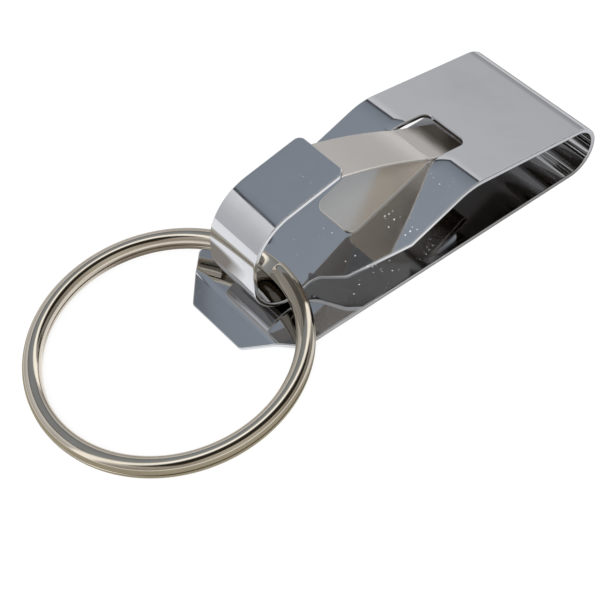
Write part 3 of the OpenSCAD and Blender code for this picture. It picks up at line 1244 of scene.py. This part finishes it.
@dataclass
class Stage:
    """Camera, lamp, surroundings and the white table."""

    shot: ShotSize

    def camera(self) -> None:
        """Make the camera of the photograph."""
        s = self.shot
        data = bpy.data.cameras.new("photo_camera")
        data.sensor_width = s.sensor
        data.lens = s.focal * s.sensor / s.pixels
        data.clip_start, data.clip_end = s.clip_start, s.clip_end
        cam = bpy.data.objects.new("photo_camera", data)
        bpy.context.scene.collection.objects.link(cam)
        back = (Vector(s.camera) - Vector(s.target)).normalized()
        right = Vector((0, 0, 1)).cross(back).normalized()
        up = back.cross(right)
        right2 = right * cos(s.roll) + up * sin(s.roll)
        up2 = up * cos(s.roll) - right * sin(s.roll)
        turned = Matrix((right2, up2, back)).transposed().to_4x4()
        cam.matrix_world = Matrix.Translation(s.camera) @ turned
        bpy.context.scene.camera = cam

    def surroundings(self) -> None:
        """Make the world: white to the camera, a studio's walls and ceiling in reflections."""
        world = bpy.data.worlds.new("studio")
        kit, surface = Finish.fresh(world, "OutputWorld")
        way = kit.node("SeparateXYZ", Vector=kit.node("TexCoord").outputs["Generated"]).outputs
        height = kit.ramp(kit.maths("MULTIPLY_ADD", way["X"], LEAN, way["Z"]), HEIGHT_TONES)
        side = kit.ramp(kit.stretch(way["X"], *SIDE_REACH), SIDE_TONES)
        ahead = kit.stretch(way["Y"], *AHEAD_REACH)
        hangs = kit.maths("MULTIPLY", kit.between(way["Z"], *CURTAIN_Z),
                          kit.between(way["X"], *CURTAIN_X))
        front = kit.mix(hangs, kit.ramp(ahead, WALL_TONES), kit.ramp(ahead, CURTAIN_TONES))
        path = kit.node("LightPath").outputs
        depth = path["Ray Depth"]
        both = kit.mix(kit.stretch(depth, 3.0, 2.0), side, front, "MULTIPLY")
        walls = kit.mix(1.0, height, both, "MULTIPLY")
        room = kit.mix(kit.between(way["Y"], *STRIP_Y), walls, LAMP_STRIP)
        lifted = kit.mix(kit.stretch(depth, 2.0, 3.0, To_Max=LIFT), room, SECOND_MEETING)
        # Painted shade: light that has met metal more often is darkened towards the painted shade
        # colour.
        deep = kit.mix(kit.stretch(depth, 2, 2 + MEETINGS), lifted, PAINTED_SHADE, "MULTIPLY")
        seen, soft, white = (kit.node("Background", Color=colour, Strength=1.0).outputs[0]
                             for colour in (deep, SOFT_LIGHT, WHITE))
        lit = kit.either(path["Is Glossy Ray"], soft, seen)
        kit.put(surface, kit.either(path["Is Camera Ray"], lit, white))
        bpy.context.scene.world = world

    def floor(self) -> None:
        """Make the white table, which the object darkens a little where it lies."""
        Shop.clear()
        bpy.ops.mesh.primitive_plane_add(size=self.shot.table_w, location=(0, 0, self.shot.table_z))
        table = bpy.context.active_object
        table.name = "white_table"
        mat = bpy.data.materials.new("white_table")
        kit, surface = Finish.fresh(mat, "OutputMaterial")
        place = kit.node("TexCoord").outputs["Object"]
        at = kit.node("SeparateXYZ", Vector=place).outputs
        path = kit.node("LightPath").outputs
        to_camera = path["Is Camera Ray"]
        # Painted shadow: as the metal sees it, the table is dark under and behind the clip and for
        # light that has met metal more often, but not from below.
        shadow = kit.maths("MULTIPLY", kit.between(at["X"], *SHADOW_X),
                           kit.between(at["Y"], *SHADOW_Y))
        dark = kit.maths("MAXIMUM", shadow, kit.stretch(path["Ray Depth"], 1, 1 + MEETINGS))
        above = kit.maths("SUBTRACT", 1.0, path["Transparent Depth"], use_clamp=True)
        # Painted shade: as the metal sees it, the table is darker in a band round the ring and
        # darkest inside it.
        away = kit.far_from(RING_CENTRE, place)
        round_ring = kit.maths("MULTIPLY", kit.between(away, *RING_BAND),
                               kit.between(at["X"], *RING_X))
        inside = kit.stretch(kit.far_from(RING_INSIDE, place), *INSIDE_REACH)
        tone = kit.ramp(kit.stretch(at["X"], *TABLE_X), TABLE_TONES)
        tone = kit.mix(round_ring, tone, ROUND_THE_RING)
        tone = kit.mix(inside, tone, INSIDE_THE_RING)
        tone = kit.mix(kit.maths("MULTIPLY", dark, above), tone, UNDER_THE_CLIP)
        tone = kit.mix(to_camera, tone, TABLE_TO_CAMERA)
        paper = kit.node("BsdfDiffuse", Color=TABLE_PAPER).outputs[0]
        shade = kit.node("BsdfDiffuse", Color=TABLE_SHADE).outputs[0]
        glow = kit.node("Emission", Color=tone, Strength=1.0).outputs[0]
        direct = kit.maths("MAXIMUM", to_camera, path["Is Glossy Ray"])
        both = kit.node("AddShader", shade, glow).outputs[0]
        top = kit.either(direct, paper, both)
        back = kit.node("NewGeometry").outputs["Backfacing"]
        clear = kit.node("BsdfTransparent").outputs[0]
        kit.put(surface, kit.either(back, top, clear))
        table.data.materials.append(mat)

    def lamps(self) -> None:
        """Make one large soft lamp that gives the table its soft shadow."""
        spot = Vector(self.shot.lamp)
        data = bpy.data.lights.new("soft_lamp", "AREA")
        data.size = self.shot.lamp_w
        data.energy = self.shot.lamp_power
        lamp = bpy.data.objects.new("soft_lamp", data)
        bpy.context.scene.collection.objects.link(lamp)
        turned = spot.to_track_quat("Z", "Y").to_matrix().to_4x4()
        lamp.matrix_world = Matrix.Translation(spot) @ turned
        lamp.visible_glossy = False
        bpy.context.scene.view_settings.view_transform = "Standard"


def save_size() -> None:
    """Bring the placements of every object up to date."""
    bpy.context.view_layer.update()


def main() -> None:
    """Build, dress and light the whole scene."""
    logging.basicConfig(level=logging.INFO)
    save_size()
    stage = Stage(ShotSize())
    stage.camera()
    place, clip, leaf = FrameSize(), ClipSize(), LeafSize()
    marks = wear_group()
    materials = {f.slot: f.material(marks) for f in (CHROME, SATIN, NICKEL)}
    pieces: list[Piece] = [ClipBody(place, clip), LeafAnchor(place, clip, leaf),
                           Gate(place, clip, leaf), SplitRing(place, RingSize())]
    for piece in pieces:
        piece.dress(piece.build(), materials)
    stage.surroundings()
    stage.floor()
    stage.lamps()
    save_size()


if __name__ == "__main__":
    main()
